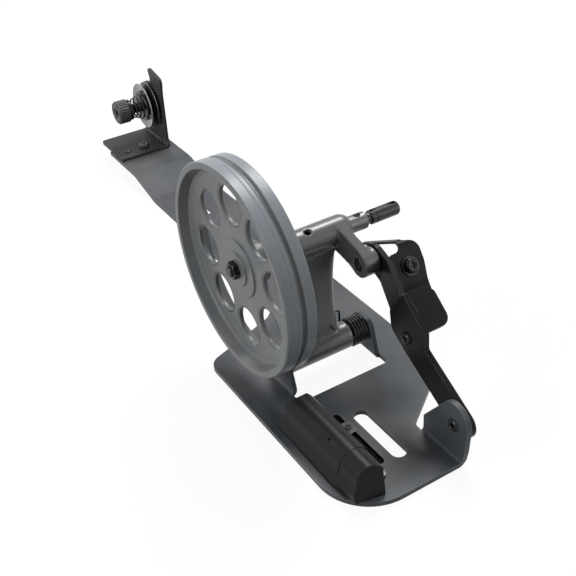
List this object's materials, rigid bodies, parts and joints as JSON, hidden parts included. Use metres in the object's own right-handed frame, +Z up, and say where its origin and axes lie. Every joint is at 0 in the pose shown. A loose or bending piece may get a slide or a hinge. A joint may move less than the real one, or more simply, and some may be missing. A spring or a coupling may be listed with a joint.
{
  "type": "sewing bobbin winder",
  "caption": "Flat-plate thread bobbin winder with a spoked drive wheel on a swinging spindle frame, a toggle thumb lever with a full-bobbin feeler, a brake block and a disc thread tension unit.",
  "frame": {"origin": "underside of the base plate, straight below the spindle axis, in the plane of the drive wheel's outer face", "axes": "+X along the spindle from the drive wheel to the bobbin seat; +Y along the long strip from the brake end to the thread tension unit; +Z up from the mounting surface"},
  "size_m": [0.0815, 0.3201, 0.0985],
  "materials": {
    "plate_finish": "dark grey satin coat",
    "casting_finish": "dark grey satin coat",
    "wheel_finish": "mid grey fine-grained coat",
    "plain_steel": "plain steel",
    "collar_steel": "dull turned steel",
    "dark_spindle": "dark polished steel",
    "black_steel": "black oxide",
    "black_lever": "black satin coat",
    "black_wire": "black oxide wire",
    "grey_rivet": "dark grey rivet steel",
    "bush_bronze": "oiled bearing bronze",
    "brake_rubber": "smooth black rubber",
    "bracket_finish": "near-black satin coat",
    "bright_disc": "polished",
    "dark_disc": "polished",
    "nut_finish": "plated"
  },
  "bodies": {
    "base": {"base_plate": "plate_finish", "pivot_pin": "plain_steel", "pivot_clip": "plain_steel", "lever_eyelet": "grey_rivet", "lever_washer": "grey_rivet", "tension_bracket": "bracket_finish", "bracket_screw": "plain_steel", "bracket_rivets": "plain_steel", "tension_stud": "black_steel", "rear_disc": "dark_disc"},
    "frame": {"swing_frame": "casting_finish", "wheel_side_bush": "bush_bronze", "bobbin_side_bush": "bush_bronze", "link_pin": "grey_rivet", "frame_spring": "black_wire"},
    "rotor": {"spindle": "dark_spindle", "drive_wheel": "wheel_finish", "wheel_screw": "black_steel", "spindle_collar": "collar_steel", "collar_set_screw": "black_steel", "bobbin_spring": "dark_spindle"},
    "lever": {"thumb_lever": "black_lever", "toggle_eyelet": "grey_rivet"},
    "link": {"trip_link": "black_lever", "feeler_washer": "black_steel", "feeler_screw": "black_steel"},
    "feeler_blade": {"feeler": "black_lever"},
    "brake": {"brake_block": "brake_rubber", "brake_end": "brake_rubber", "brake_bracket": "plain_steel", "brake_slider": "black_steel", "brake_screw": "black_steel"},
    "disc": {"front_disc": "bright_disc", "spring_seat": "black_steel"},
    "cap": {"spring_cap": "black_steel", "tension_spring": "black_wire"},
    "nut": {"tension_nut": "nut_finish"}
  },
  "joints": [
    {"name": "frame_swing", "type": "hinge", "parent": "base", "child": "frame", "pos_m": [0.035, -0.0075, 0.0116], "axis": [1, 0, 0], "range_deg": [0, 8.7], "deforming": ["frame_spring"]},
    {"name": "wheel_spin", "type": "hinge", "parent": "frame", "child": "rotor", "pos_m": [0, 0, 0.0565], "axis": [1, 0, 0], "continuous": true},
    {"name": "lever_turn", "type": "hinge", "parent": "base", "child": "lever", "pos_m": [0.0468, -0.0778, 0.0162], "axis": [1, 0, 0], "range_deg": [0, 20.19]},
    {"name": "link_turn", "type": "hinge", "parent": "frame", "child": "link", "pos_m": [0.0562, -0.015, 0.0485], "axis": [1, 0, 0], "range_deg": [-26.86, 0]},
    {"name": "feeler_adjust", "type": "hinge", "parent": "link", "child": "feeler_blade", "pos_m": [0.0656, -0.0241, 0.0457], "axis": [0, -0.8218, 0.5698], "range_deg": [-2.5, 2.5]},
    {"name": "brake_slide", "type": "slide", "parent": "base", "child": "brake", "axis": [0, 1, 0], "range_m": [-0.005, 0.005]},
    {"name": "nut_turn", "type": "hinge", "parent": "cap", "child": "nut", "pos_m": [0.048, 0.219, 0.0308], "axis": [1, 0, 0], "range_deg": [-360, 360]},
    {"name": "nut_travel", "type": "slide", "parent": "base", "child": "cap", "axis": [1, 0, 0], "range_m": [-0.0007, 0.0007], "deforming": ["tension_spring"]},
    {"name": "disc_lift", "type": "slide", "parent": "base", "child": "disc", "axis": [-1, 0, 0], "range_m": [0, 0.0008], "stiffness_N_per_m": 200, "deforming": ["tension_spring"]}
  ],
  "couplings": [
    {"joint": "lever_turn", "follows": "frame_swing", "ratio": 2.32},
    {"joint": "link_turn", "follows": "frame_swing", "ratio": -3.0867},
    {"joint": "nut_turn", "follows": "nut_travel", "rad_per_m": 8976}
  ]
}
